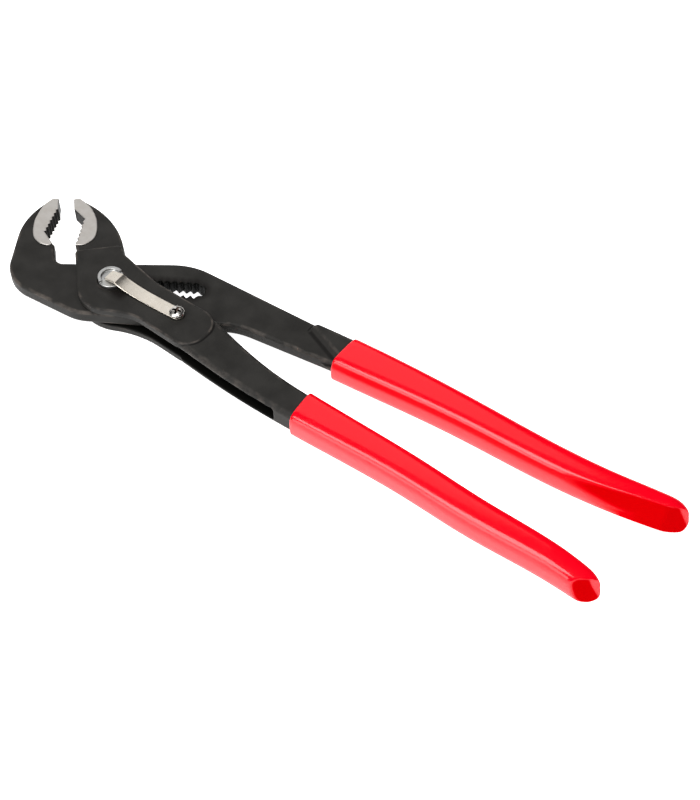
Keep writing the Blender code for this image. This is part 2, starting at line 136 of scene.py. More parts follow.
def spline(points, x):
    """Natural cubic spline, whose second slopes m solve h m[i-1] + 2(h + k) m[i] + k m[i+1] = 6 (change of
    slope), h and k being the steps before and after i."""
    px, py = np.array(points, float).T
    h = np.diff(px)
    slope = np.diff(py) / h
    n = len(px)
    a = np.eye(n)
    inner = np.arange(1, n - 1)
    a[inner, inner - 1] = h[:-1]
    a[inner, inner] = 2 * (h[:-1] + h[1:])
    a[inner, inner + 1] = h[1:]
    m = np.linalg.solve(a, np.concatenate(((0,), 6 * np.diff(slope), (0,))))
    i = np.clip(np.searchsorted(px, x) - 1, 0, n - 2)
    t = x - px[i]
    lean = slope[i] - h[i] * (2 * m[i] + m[i + 1]) / 6
    return py[i] + t * (lean + t * (m[i] / 2 + t * (m[i + 1] - m[i]) / (6 * h[i])))


def bar_edges(spine, width, x):
    """Both edges of a bar: the spine point plus and minus half the width along the spine's unit normal."""
    y = spline(spine, x)
    lean = spline(spine, x + 0.1) - spline(spine, x - 0.1)
    normal = np.stack((-lean, np.full_like(lean, 0.2)), 1)
    normal = normal / np.linalg.norm(normal, axis=1)[:, None]
    middle = np.stack((x, y), 1)
    half = spline(width, x)[:, None] / 2
    return middle + half * normal, middle - half * normal


def axes(low, high, step):
    """Three grid axes from the low to the high corner, ready to broadcast against each other. They are moved
    by an odd share of a step, so that no flat face runs through grid points."""
    odd_share = 0.63
    x, y, z = (np.arange(a, b + step, step) + odd_share * step for a, b in zip(low, high))
    return x[:, None, None], y[None, :, None], z[None, None, :]


def plan(outline, x, y):
    """Signed distance in plan: the least distance to any edge, negative where a ray crosses the outline an
    odd number of times."""
    gx, gy = np.broadcast_arrays(x[:, :, 0], y[:, :, 0])
    nearest = np.full(gx.shape, 1e9)
    inside = np.zeros(gx.shape, bool)
    for (ax, ay), (bx, by) in zip(outline, np.roll(outline, -1, 0)):
        ex, ey = bx - ax, by - ay
        t = np.clip(((gx - ax) * ex + (gy - ay) * ey) / (ex * ex + ey * ey + 1e-12), 0, 1)
        nearest = np.minimum(nearest, (gx - ax - t * ex) ** 2 + (gy - ay - t * ey) ** 2)
        if ay != by:
            inside ^= ((ay > gy) != (by > gy)) & (gx < ex * (gy - ay) / ey + ax)
    return np.where(inside, -1, 1)[:, :, None] * np.sqrt(nearest)[:, :, None]


def prism(flat, z, low, high, rim=0.0):
    """Solid over a plan between two heights: with a = plan + rim and b = past the faces + rim, it is the
    hypot of the parts of a and b above zero, or the larger of them inside, less the rim radius."""
    a = flat + rim
    b = np.abs(z - (low + high) / 2) - (high - low) / 2 + rim
    return np.minimum(np.maximum(a, b), 0) + np.hypot(np.maximum(a, 0), np.maximum(b, 0)) - rim


def joined(a, b, soft):
    """Union of two distance fields with a fillet: b + (a - b) h - soft h (1 - h), where h goes from 0 to 1 as
    b - a goes from -soft to soft."""
    h = np.clip(0.5 + 0.5 * (b - a) / soft, 0, 1)
    return b + (a - b) * h - soft * h * (1 - h)


def carved(a, b, soft):
    """First field with the second cut out of it, the new edges eased by soft."""
    return -joined(-a, b, soft)


def sampled(field, p):
    """Trilinear value of a grid at points given in cells."""
    i = np.clip(p.astype(int), 0, np.array(field.shape) - 2)
    f = p - i
    total = 0
    for c in np.ndindex(2, 2, 2):
        total = total + np.prod(np.where(c, f, 1 - f), axis=1) * field[tuple((i + c).T)]
    return total


def mesh_piece(name, points, quads):
    """Object from an array of points in metres and an array of four point numbers for each face."""
    mesh = bpy.data.meshes.new(name)
    mesh.vertices.add(len(points))
    mesh.vertices.foreach_set("co", points.astype(np.float32).ravel())
    mesh.loops.add(quads.size)
    mesh.loops.foreach_set("vertex_index", quads.astype(np.int32).ravel())
    mesh.polygons.add(len(quads))
    mesh.polygons.foreach_set("loop_start", np.arange(0, quads.size, 4, dtype=np.int32))
    mesh.update(calc_edges=True)
    mesh.validate()
    mesh.shade_smooth()
    piece = bpy.data.objects.new(name, mesh)
    bpy.context.scene.collection.objects.link(piece)
    return piece


def marked(piece, marks):
    """Each array of marks kept under its name as an attribute of the piece's points."""
    for mark, values in marks.items():
        held = piece.data.attributes.new(mark, "FLOAT", "POINT")
        held.data.foreach_set("value", values.astype(np.float32).ravel())


def skin(name, field, grid, **marks):
    """Surface where a distance field is zero: a point in each cell that it crosses, at the mean of the
    crossings on the cell's edges and then moved down the field's slope onto it, and a quad round each grid
    edge that it crosses. The attribute edge holds the field's second slope there, which is high on convex
    edges and low in corners; each further field given by name is kept as an attribute too."""
    step = float(grid[0][1, 0, 0] - grid[0][0, 0, 0])
    low = np.array([a.ravel()[0] for a in grid])
    inside = field < 0
    shape = np.array(field.shape)
    corners = np.array(list(np.ndindex(2, 2, 2)))
    count = np.zeros(shape - 1, np.int8)
    for corner in corners:
        count += inside[tuple(slice(c, n - 1 + c) for c, n in zip(corner, shape))]
    cells = np.argwhere((count > 0) & (count < 8))
    value = np.stack([field[tuple((cells + c).T)] for c in corners], 1)
    total = np.zeros(cells.shape)
    hits = np.zeros((len(cells), 1))
    for a, b in ((a, b) for a in range(8) for b in range(a) if abs(corners[a] - corners[b]).sum() == 1):
        crossed = (value[:, a] < 0) != (value[:, b] < 0)
        t = value[:, a] / np.where(crossed, value[:, a] - value[:, b], 1)
        total += np.where(crossed[:, None], corners[a] + t[:, None] * (corners[b] - corners[a]), 0)
        hits += crossed[:, None]
    spots = cells + total / hits
    for _ in range(3):
        slope = np.stack([sampled(field, spots + d) - sampled(field, spots - d) for d in np.eye(3) * 0.5], 1)
        shift = sampled(field, spots)[:, None] * slope / (np.sum(slope**2, 1)[:, None] + 1e-9)
        spots = spots - np.clip(shift, -0.3, 0.3)
    number = np.full(shape - 1, -1)
    number[tuple(cells.T)] = np.arange(len(cells))
    quads = []
    for axis in range(3):
        ahead = np.eye(3, dtype=int)[axis]
        u = np.eye(3, dtype=int)[(axis + 1) % 3]
        v = np.eye(3, dtype=int)[(axis + 2) % 3]
        first = inside[tuple(slice(0, n - d) for n, d in zip(shape, ahead))]
        second = inside[tuple(slice(d, n) for n, d in zip(shape, ahead))]
        edges = np.argwhere(first != second)
        face = np.stack([number[tuple((edges - back).T)] for back in (u + v, v, 0 * u, u)], 1)
        out = first[tuple(edges.T)]
        quads.append(np.where(out[:, None], face, face[:, ::-1]))
    piece = mesh_piece(name, pivot + (low + spots * step) * MM, np.concatenate(quads))
    second_slope = sum(np.roll(field, 1, k) + np.roll(field, -1, k) for k in range(3)) - 6 * field
    marks["edge"] = np.clip(second_slope / step**2, -2, 2)
    marked(piece, {mark: sampled(values, spots) for mark, values in marks.items()})
    return piece


def web_line(angle, reach):
    """Point on the line that lies web_radius from the pivot with its normal at angle, reach along it: radius
    times the normal plus reach times the normal turned left."""
    a = math.radians(angle)
    return web_radius * math.cos(a) - reach * math.sin(a), web_radius * math.sin(a) + reach * math.cos(a)


grid = axes(*outer_box, forging_step)
gx, gy, gz = grid
front = prism(plan(rounded(front_corners), gx, gy) - let_out, gz, -cheek_gap, pad_half, pad_rim)
back = prism(plan(rounded(back_corners), gx, gy) - let_out, gz, -pad_half, cheek_gap, pad_rim)
pad = joined(front, back, pad_soft)
upper, lower = bar_edges(outer_spine, outer_width, np.linspace(*bar_run, 40))
bar_plan = plan(np.concatenate((bar_root, upper, lower[::-1])), gx, gy)
ease = np.clip((gx - ease_start) / ease_length, 0, 1)
bar_half = bar_front + (tang_half - bar_front) * ease**2 * (3 - 2 * ease)
bar = prism(bar_plan, gz, -bar_half, bar_half, bar_rim)
jaw = prism(plan(rounded(outer_jaw_corners), gx, gy) - let_out, gz, -jaw_half, jaw_half, jaw_rim)
arm = joined(joined(pad, bar, bar_soft), jaw, jaw_soft)
web_turn = math.radians(web_normals[1] - web_normals[0]) / 2
web_middle = math.radians(sum(web_normals) / 2)
web_apex = np.array((math.cos(web_middle), math.sin(web_middle))) * web_radius / math.cos(web_turn)
slot_corners = (
    (*web_line(web_normals[1], -slot_reach), 0), (*web_apex, web_round),
    (*web_line(web_normals[0], slot_reach), 0), (-slot_reach, -slot_reach, 0),
    (slot_end, -slot_reach, 0), (slot_end, slot_reach, 0),
)
slot = prism(plan(rounded(slot_corners), gx, gy), gz, -cheek_gap, cheek_gap, slot_corner)
arm = carved(arm, slot, cut_soft)
radius = np.hypot(gx, gy)
arm = carved(arm, np.maximum(radius - pin_bore, -gz), cut_soft)
arm = carved(arm, np.maximum(radius - tail_bore, gz), cut_soft)
screw_hole = np.hypot(gx - screw_spot[0], gy - screw_spot[1]) - screw_bore
arm = carved(arm, np.maximum(screw_hole, -gz), screw_soft)
# Distance out of the box where a painted shadow darkens the pad beside the pin, under the leaf spring.
off_leaf_shadow = [np.maximum(np.abs(g - c) - h, 0) for g, c, h in zip((gx, gy), leaf_shadow_spot, leaf_shadow_half)]
clean = np.hypot(*off_leaf_shadow) + np.maximum(pad_half - leaf_shadow_deep - gz, 0)
outer_forging = skin("outer_forging", arm, grid, hollow=slot, clean=clean)


def add(tree, kind, **values):
    """New shader node with its sockets set by name, underscores standing for spaces."""
    node = tree.nodes.new("ShaderNode" + kind)
    for name, value in values.items():
        node.inputs[name.replace("_", " ")].default_value = value
    return node


def finish_of(name):
    """New material: its tree, its Principled shader and its object coordinates."""
    material = bpy.data.materials.new(name)
    material.use_nodes = True
    tree = material.node_tree
    place = tree.nodes.new("ShaderNodeTexCoord").outputs["Object"]
    return material, tree, tree.nodes["Principled BSDF"], place


def noise(tree, place, scale, detail):
    """Noise on object coordinates; scale counts the grains in a metre."""
    node = add(tree, "TexNoise", Scale=scale, Detail=detail, Roughness=0.55)
    tree.links.new(place, node.inputs["Vector"])
    return node.outputs["Fac"]


def ranged(tree, value, low, high, to_low=0.0, to_high=1.0):
    """Value stretched from one range to another and held inside it."""
    node = add(tree, "MapRange", From_Min=low, From_Max=high, To_Min=to_low, To_Max=to_high)
    tree.links.new(value, node.inputs["Value"])
    return node.outputs["Result"]


def worked(tree, way, a, b=0.0):
    """Value a worked on by b, a number or another value: a product, a difference or the like."""
    node = tree.nodes.new("ShaderNodeMath")
    node.operation = way
    tree.links.new(a, node.inputs[0])
    if isinstance(b, float):
        node.inputs[1].default_value = b
    else:
        tree.links.new(b, node.inputs[1])
    return node.outputs[0]


def tinted(tree, share, a, b):
    """Colour a turning to colour b with the share; each is a colour or an output."""
    node = tree.nodes.new("ShaderNodeMix")
    node.data_type = "RGBA"
    tree.links.new(share, node.inputs["Factor"])
    for socket, colour in ((node.inputs[6], a), (node.inputs[7], b)):
        if isinstance(colour, tuple):
            socket.default_value = (*colour, 1)
        else:
            tree.links.new(colour, socket)
    return node.outputs[2]


def bumped(tree, shader, height, strength, depth):
    """Height from 0 to 1, times depth in metres, as a bump on the shader's normal."""
    node = add(tree, "Bump", Strength=strength, Distance=depth)
    tree.links.new(height, node.inputs["Height"])
    tree.links.new(node.outputs["Normal"], shader.inputs["Normal"])


def attribute(tree, name):
    """Value of a point attribute of the mesh."""
    node = tree.nodes.new("ShaderNodeAttribute")
    node.attribute_name = name
    return node.outputs["Fac"]


def blackened_steel(name):
    """Black oxide on a forging: cloudy near-black with fine scale grain, paler where edges are rubbed, with
    painted shade in its slot and concave corners and a painted shadow by the pin under the leaf spring, and
    with a few tan rub marks on its edges."""
    material, tree, shader, place = finish_of(name)
    edge = attribute(tree, "edge")
    outside_slot_shade = ranged(tree, attribute(tree, "hollow"), 0.1, 0.7)
    grain = noise(tree, place, 1400, 5)
    cloud = noise(tree, place, 90, 4)
    colour = tinted(tree, ranged(tree, cloud, 0.35, 0.65), oxide_dark, oxide_pale)
    patch = ranged(tree, noise(tree, place, 160, 4), 0.45, 0.65)
    colour = tinted(tree, worked(tree, "MULTIPLY", ranged(tree, edge, 0.12, 0.7), patch), colour, rubbed_edge)
    # Painted shade in concave corners.
    colour = tinted(tree, ranged(tree, edge, -0.08, -0.4), colour, painted_corner_shade)
    # Painted shadow under the leaf by the pin, and painted shade in the inner arm's slot.
    colour = tinted(tree, ranged(tree, attribute(tree, "clean"), 0.0, 3.0), painted_shadow_black, colour)
    fleck = ranged(tree, noise(tree, place, 420, 3), 0.69, 0.75)
    colour = tinted(tree, worked(tree, "MULTIPLY", fleck, ranged(tree, edge, 0.1, 0.6)), colour, tan_mark)
    # Painted shade inside the slot.
    tree.links.new(tinted(tree, outside_slot_shade, painted_slot_shade, colour), shader.inputs["Base Color"])
    shader.inputs["Specular IOR Level"].default_value = 0.10
    tree.links.new(ranged(tree, grain, 0.3, 0.7, 0.42, 0.55), shader.inputs["Roughness"])
    bumped(tree, shader, grain, 0.25, 0.00012)
    return material


outer_forging.data.materials.append(blackened_steel("outer_blackened_steel"))
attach(outer_forging, "outer_arm")
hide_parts("outer_arm")


# Outer jaw land: the jaw's faces are ground flat and bright after blackening, so they stand a little proud,
# and the gripping side between them is left black with a row of saw teeth cut across it.
land_step = 0.2
land_half = 3.75
land_rim = 0.25
land_margin = 1
bright_from = (3.52, 3.62)
grind_turn = math.radians(35)
grind_stretch = 14
ground_dark = (0.56, 0.528, 0.49)
ground_pale = (0.63, 0.603, 0.57)
tooth_black = (0.009, 0.0085, 0.008)
tooth_depth = 0.8
tooth_lean = 0.3
outer_tooth_count = 6
outer_land_back = (
    (-28.4, 6.4), (-25.9, 8.7), (-24.8, 12.0), (-25.1, 15.2), (-27.0, 18.4), (-29.4, 21.1), (-33.1, 24.1),
    (-37.7, 26.5), (-41.8, 27.7), (-47.1, 28.2),
)
outer_land_tip = ((-48.9, 26.1), (-44.4, 21.8))
outer_teeth = ((-37.2, 20.6), (-29.4, 7.7))


def through(points, count=12):
    """Hermite line through a few points, each tangent half the way between its neighbours."""
    p = np.array(points, float)
    lean = np.gradient(p, axis=0)
    k = np.arange((len(p) - 1) * count + 1)
    i = np.minimum(k // count, len(p) - 2)
    t = (k / count - i)[:, None]
    line = (2 * t**3 - 3 * t**2 + 1) * p[i] + (t**3 - 2 * t**2 + t) * lean[i]
    return line + (3 * t**2 - 2 * t**3) * p[i + 1] + (t**3 - t**2) * lean[i + 1]


def teeth(start, end, depth, count):
    """Saw teeth from start to end: roots lie at depth to the left of the way, tooth_lean of a tooth past each
    tip."""
    a, b = np.array(start), np.array(end)
    along = (b - a) / count
    left = np.array((-along[1], along[0])) / np.linalg.norm(along)
    k = np.arange(count)[:, None]
    row = np.stack((a + along * k, a + along * (k + tooth_lean) + left * depth), 1).reshape(-1, 2)
    return np.concatenate((row, b[None]))


def jaw_land(name, outline):
    """Thin-rimmed prism over the land's outline."""
    top = land_half + land_margin
    low, high = outline.min(0) - land_margin, outline.max(0) + land_margin
    grid = axes((*low, -top), (*high, top), land_step)
    land = prism(plan(outline, grid[0], grid[1]), grid[2], -land_half, land_half, land_rim)
    return skin(name, land, grid)


def ground_land(name):
    """Bright ground face wherever the land stands proud of the jaw, black between, with fine slanting
    grinding lines, which are noise drawn out along one way."""
    material, tree, shader, place = finish_of(name)
    parts = tree.nodes.new("ShaderNodeSeparateXYZ")
    tree.links.new(place, parts.inputs[0])
    from_middle = worked(tree, "ABSOLUTE", worked(tree, "SUBTRACT", parts.outputs["Z"], pivot[2]))
    proud = ranged(tree, from_middle, *(height * MM for height in bright_from))
    turned = add(tree, "Mapping", Rotation=(0, 0, grind_turn), Scale=(1, grind_stretch, 1))
    tree.links.new(place, turned.inputs["Vector"])
    streak = noise(tree, turned.outputs["Vector"], 500, 4)
    cloud = noise(tree, place, 300, 3)
    bright = tinted(tree, ranged(tree, cloud, 0.3, 0.7), ground_dark, ground_pale)
    tree.links.new(tinted(tree, proud, tooth_black, bright), shader.inputs["Base Color"])
    sheen = worked(tree, "MULTIPLY", proud, ranged(tree, cloud, 0.2, 0.8, 0.8, 0.9))
    tree.links.new(sheen, shader.inputs["Metallic"])
    tree.links.new(ranged(tree, streak, 0.3, 0.7, 0.36, 0.5), shader.inputs["Roughness"])
    shader.inputs["Specular IOR Level"].default_value = 0.05
    bumped(tree, shader, streak, 0.2, 0.00005)
    return material


outer_row = teeth(*outer_teeth, tooth_depth, outer_tooth_count)
outer_line = np.concatenate((through(outer_land_back), outer_land_tip, outer_row))
outer_jaw_land = jaw_land("outer_jaw_land", outer_line)
outer_jaw_land.data.materials.append(ground_land("outer_ground_land"))
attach(outer_jaw_land, "outer_arm")


# Inner arm: the second blackened steel forging, a flat plate that slips through the slot of the outer arm.
# It has the hook jaw at one end, the toothed adjusting slot in the middle, and a shoulder that thickens it to
# the tang.
inner_box = ((-59, -26, -6.6), (112, 43, 6.6))
plate_half = 3.1
plate_rim = 1.2
shoulder_front = ((82.3, 21.5), (82.5, 35.2), (83.3, 36.6))
shoulder_run = (86, 110)
shoulder_rim = 2.0
shoulder_out = 0.45
shoulder_soft = 0.6
ramp_soft = 0.5
ramp_foot = (81.9, 32.4)
ramp_turn = math.radians(18)
ramp_slope = math.radians(39)
pitch = 3.1
notches = (-3, 12)
slot_turn = math.radians(33.5)
tip_half = 2.75
valley_half = 4.5
slot_nose = ((1.7, 2.55), (2.6, 1.3))
slot_heel = (2.6, 1.2)
inner_spine = ((84, 29.5), (103, 32.0), (130, 35.4), (160, 38.3), (190, 40.3), (220, 43.9), (256, 52.0))
inner_width = ((84, 14.6), (103, 14.9), (150, 12.6), (200, 10.8), (256, 8.5))
inner_end = 251.7
plate_corners = (
    (-57.95, 3.6, 30), (-38.3, -25.7, 17), (-1.5, -20.7, 20), (3.5, -17.4, 8), (56.6, 16.8, 28),
    (104, 25.9, 0), (104, 38.9, 0), (18.8, 30.1, 30), (-28.1, -6.4, 4.4), (-36.5, 1.2, 0),
    (-41, 1.0, 0), (-48, 5, 0), (-53.5, 17.5, 0), (-57.6, 16.5, 0),
)


def rack(first, last):
    """Zigzag strip along the slot: half widths swap between tip and valley every half pitch, mirrored below
    the middle line."""
    k = np.arange(2 * first, 2 * last + 1)
    side = np.stack((k * pitch / 2, np.where(k % 2 == 0, tip_half, valley_half)), 1)
    return np.concatenate((side, side[::-1] * (1, -1)))


def slanted(points):
    """Points turned about the pivot to the slot's slant."""
    c, s = math.cos(slot_turn), math.sin(slot_turn)
    return points @ np.array(((c, s), (-s, c)))


grid = axes(*inner_box, forging_step)
gx, gy, gz = grid
plate = prism(plan(rounded(plate_corners), gx, gy) - let_out, gz, -plate_half, plate_half, plate_rim)
upper, lower = bar_edges(inner_spine, inner_width, np.linspace(*shoulder_run, 12))
shoulder_line = np.concatenate((shoulder_front, upper, lower[::-1]))
shoulder = prism(plan(shoulder_line, gx, gy) - shoulder_out, gz, -tang_half, tang_half, shoulder_rim)
past_foot = (gx - ramp_foot[0]) * math.sin(ramp_turn) + (gy - ramp_foot[1]) * math.cos(ramp_turn)
ramp = (np.abs(gz) - plate_half - past_foot * math.tan(ramp_slope)) * math.cos(ramp_slope)
shoulder = carved(shoulder, -ramp, ramp_soft)
arm = joined(plate, shoulder, shoulder_soft)
zigzag = rack(*notches)
half_way = len(zigzag) // 2
nose = np.array(slot_nose) + (notches[1] * pitch, 0)
heel_end = notches[0] * pitch - slot_heel[0]
heel = ((heel_end, -slot_heel[1]), (heel_end, slot_heel[1]))
slot_line = np.concatenate((heel, zigzag[:half_way], nose, nose[::-1] * (1, -1), zigzag[half_way:]))
window = plan(slanted(slot_line), gx, gy) + 0 * gz
arm = carved(arm, window, cut_soft)
inner_forging = skin("inner_forging", arm, grid, hollow=window, clean=window)
inner_forging.data.materials.append(blackened_steel("inner_blackened_steel"))
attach(inner_forging, "inner_arm")
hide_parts("inner_arm")


# Inner jaw land: the hook jaw's own steel, the counterpart of the outer jaw's, with both faces ground bright
# after blackening and a row of saw teeth left black between them.
inner_land_back = (
    (-56.5, 20.6), (-56.7, 15.4), (-54.8, 9.8), (-52.3, 4.9), (-47.1, -0.7), (-42.4, -2.3), (-38.0, -1.2),
    (-36.7, 0.9),
)
inner_land_tip = ((-52.45, 19.9), (-54.45, 22.25))
inner_teeth = ((-49.95, 17.45), (-43.65, 2.75))
inner_tooth_count = 7
inner_row = teeth(*inner_teeth, -tooth_depth, inner_tooth_count)[-2::-1]
inner_line = np.concatenate((through(inner_land_back), inner_row, inner_land_tip))
inner_jaw_land = jaw_land("inner_jaw_land", inner_line)
inner_jaw_land.data.materials.append(ground_land("inner_ground_land"))
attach(inner_jaw_land, "inner_arm")


# Pivot pin: a turned and zinc-plated steel pin. Its head has a pocket behind a C-shaped rim for the spring's
# tongue, a toothed key below the head sits in the adjusting slot, and a plain tail runs in the back cheek.
pin_step = 0.14
pin_box = ((-6, -6, -7), (6, 6, 9.3))
pin_edge = 0.3
pin_soft = 0.1
pin_radius = 5.5
head_top = 7.8
rim_top = 8.8
rim_width = 1.45
rim_edge = 0.15
rim_middle = math.radians(166)
key_low = 0.1
key_inset = 0.45
key_reach = 5.2
key_edge = 0.1
key_notches = (-3, 3)
sunk = 1
tail_radius = 2.45
tail_end = -6.5
zinc_pale = (0.63, 0.63, 0.62)
zinc_dark = (0.53, 0.53, 0.52)
grid = axes(*pin_box, pin_step)
gx, gy, gz = grid
radius = np.hypot(gx, gy)
pin = prism(radius - pin_radius, gz, cheek_gap, head_top, pin_edge)
away = -(gx * math.cos(rim_middle) + gy * math.sin(rim_middle))
ring = np.maximum(np.abs(radius - pin_radius + rim_width / 2) - rim_width / 2, away)
pin = joined(pin, prism(ring, gz, head_top - sunk, rim_top, rim_edge), pin_soft)
key_plan = np.maximum(plan(slanted(rack(*key_notches)), gx, gy) + key_inset, radius - key_reach)
pin = joined(pin, prism(key_plan, gz, key_low, cheek_gap + sunk, key_edge), pin_soft)
pin = joined(pin, prism(radius - tail_radius, gz, tail_end, cheek_gap + sunk, pin_edge), pin_soft)
turned_pin = skin("turned_pin", pin, grid)


def plated(name, pale, dark, rough, grain_scale, shade_colour=None):
    """Bright metal: two close tones in soft clouds and fine grain in the polish; given a shade colour, the
    hollow is painted with it as painted shade."""
    material, tree, shader, place = finish_of(name)
    cloud = noise(tree, place, 350, 4)
    grain = noise(tree, place, grain_scale, 4)
    colour = tinted(tree, ranged(tree, cloud, 0.3, 0.7), dark, pale)
    if shade_colour:
        # Painted shade in the hollow.
        colour = tinted(tree, ranged(tree, attribute(tree, "hollow"), 0.03, 0.16), shade_colour, colour)
    tree.links.new(colour, shader.inputs["Base Color"])
    tree.links.new(ranged(tree, grain, 0.25, 0.75, rough - 0.06, rough + 0.08), shader.inputs["Roughness"])
    shader.inputs["Metallic"].default_value = 1.0
    bumped(tree, shader, grain, 0.1, 0.00001)
    return material


turned_pin.data.materials.append(plated("pin_zinc_plate", zinc_pale, zinc_dark, 0.42, 2600))
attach(turned_pin, "pivot_pin")
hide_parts("pivot_pin")


# Leaf spring: a strip of bright spring steel screwed down at its round end. It bows off the pad and kinks
# beside the pin, so that its square-cut tongue presses into the pocket in the pin's head and holds the pin
# down.
leaf_half = 3.08
leaf_thick = 0.8
leaf_edge = 0.2
leaf_tongue = -1.1
leaf_crease = 4.8
leaf_crease_soft = 0.2
leaf_lift = (1.3, 2.55, 0.3)
leaf_fall = (0.75, 1.65)
leaf_curl = 14.0
leaf_curl_power = 1.5
leaf_near = 0.05
leaf_bow = 0.3
leaf_run = (leaf_tongue + 0.6, screw_spot[0] - 0.2)
tongue_end = 0.5
tongue_end_share = 0.84
leaf_shares = ((0, 0.92), (4, 0.98), (10, 1), (36, 0.95))
leaf_least = 0.03
leaf_pale = (0.93, 0.865, 0.765)
leaf_dark = (0.85, 0.78, 0.68)
leaf_slope = (screw_spot[1] - leaf_near) / screw_spot[0]


def section(flat_top, flat_side, arc):
    """Unit rounded rectangle, read anticlockwise: sx and sz say which corner's centre, c and s the way out
    from it."""
    q = np.linspace(0, math.pi / 2, arc)
    rows = []
    for k in range(4):
        turn = q + k * math.pi / 2
        sx, sz = ((1, 1), (-1, 1), (-1, -1), (1, -1))[k]
        rows.append(np.stack((np.full(arc, sx), np.full(arc, sz), np.cos(turn), np.sin(turn)), 1))
        run = np.linspace(1, -1, (flat_top if k % 2 == 0 else flat_side) + 2)[1:-1]
        still = np.ones_like(run)
        side = ((run, still, 0 * run, still), (-still, run, -still, 0 * run),
                (-run, -still, 0 * run, -still), (still, -run, still, 0 * run))[k]
        rows.append(np.stack(side, 1))
    return np.concatenate(rows)


def boxed(a, b, r, shape):
    """Sections that are rounded rectangles: side sx (a - r) + r c and height sz (b - r) + r s."""
    sx, sz, c, s = shape.T
    return sx * (a - r)[:, None] + r[:, None] * c, sz * (b - r)[:, None] + r[:, None] * s


def carried(middle, across, side, rise):
    """Section points along a path: each station's middle plus across times side, raised by rise."""
    points = middle[:, None, :] + across[:, None, :] * side[:, :, None]
    points[:, :, 2] += rise
    return points


def lofted(name, points, **marks):
    """Closed skin over rows of section points: quads from row to row, with the first and last rows filled in.
    Each array given by name is kept as an attribute of the points."""
    n, m = points.shape[:2]
    i, j = np.meshgrid(np.arange(n - 1), np.arange(m), indexing="ij")
    k = (j + 1) % m
    quads = np.stack((i * m + j, i * m + k, (i + 1) * m + k, (i + 1) * m + j), -1).reshape(-1, 4)
    piece = mesh_piece(name, pivot + points.reshape(-1, 3) * MM, quads)
    marked(piece, marks)
    shell = bmesh.new()
    shell.from_mesh(piece.data)
    bmesh.ops.remove_doubles(shell, verts=shell.verts, dist=2e-6)
    bmesh.ops.holes_fill(shell, edges=[e for e in shell.edges if e.is_boundary])
    bmesh.ops.recalc_face_normals(shell, faces=shell.faces)
    shell.to_mesh(piece.data)
    shell.free()
    piece.data.shade_smooth()
    return piece


def leaf_under(x):
    """Height of the strip's underside above the pad: rising along the tongue to the crease, then the sum of a
    quick exponential fall and a slow one, (1 - t) to a power, down to the flat; the lesser of both, eased."""
    tongue = leaf_lift[0] + (leaf_lift[1] - leaf_lift[0]) * (x - leaf_tongue) / (leaf_crease - leaf_tongue)
    past = np.maximum(x - leaf_crease, -2)
    slow = np.maximum(1 - past / leaf_curl, 0) ** leaf_curl_power
    curl = leaf_lift[2] + leaf_fall[0] * np.exp(-past / leaf_fall[1])
    curl = curl + (leaf_lift[1] - leaf_lift[2] - leaf_fall[0]) * slow
    return joined(tongue, curl, leaf_crease_soft)


q = np.linspace(0, math.pi / 2, 12)
run = np.linspace(*leaf_run, 160)
x = np.concatenate((leaf_tongue + tongue_end * (1 - np.cos(q)), run, screw_spot[0] + leaf_half * np.sin(q)))
places, shares = zip(*leaf_shares)
tongue_share = tongue_end_share + (shares[0] - tongue_end_share) * np.sin(q) ** 0.5
leaf_share = np.concatenate((tongue_share, np.interp(run, places, shares), shares[-1] * np.cos(q)))
w = np.maximum(leaf_half * leaf_share, leaf_least)
u = np.clip(x / screw_spot[0], 0, 1)
leaf_y = leaf_near + leaf_slope * x - 4 * leaf_bow * u * (1 - u)
leaf_middle = np.stack((x, leaf_y, pad_half + leaf_under(x) + leaf_thick / 2), 1)
leaf_across = np.broadcast_to(np.array((leaf_slope, -1, 0)) / math.hypot(1, leaf_slope), leaf_middle.shape)
leaf_sections = boxed(w, np.full_like(x, leaf_thick / 2), np.minimum(leaf_edge, w), section(6, 1, 5))
leaf_strip = lofted("leaf_strip", carried(leaf_middle, leaf_across, *leaf_sections))
leaf_strip.data.materials.append(plated("leaf_bright_steel", leaf_pale, leaf_dark, 0.3, 1800))
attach(leaf_strip, "outer_arm")
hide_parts("leaf_spring")


# Spring screw: a small pan-head screw of plated steel with a cross recess, whose hollow is painted dark as
# painted shade. It goes through the leaf's round end into the front cheek and clamps the leaf there.
screw_step = 0.1
screw_middle = np.array((*screw_spot, 7.0))
screw_room = np.array((3.7, 3.7, 3.6))
head_radius = 3.2
head_low = 8.2
head_high = 10.1
head_edge = 0.25
dome_radius = 6.5
dome_soft = 0.5
shank_radius = 1.5
shank_low = 3.8
shank_lap = 0.5
shank_edge = 0.2
shank_soft = 0.1
recess_turn = math.radians(20)
recess_deep = 1.25
recess_rise = 0.45
recess_reach = 1.95
recess_half = 0.42
recess_hub = 0.75
recess_soft = 0.3
recess_edge = 0.15
screw_pale = (0.80, 0.77, 0.73)
screw_dark = (0.68, 0.65, 0.61)
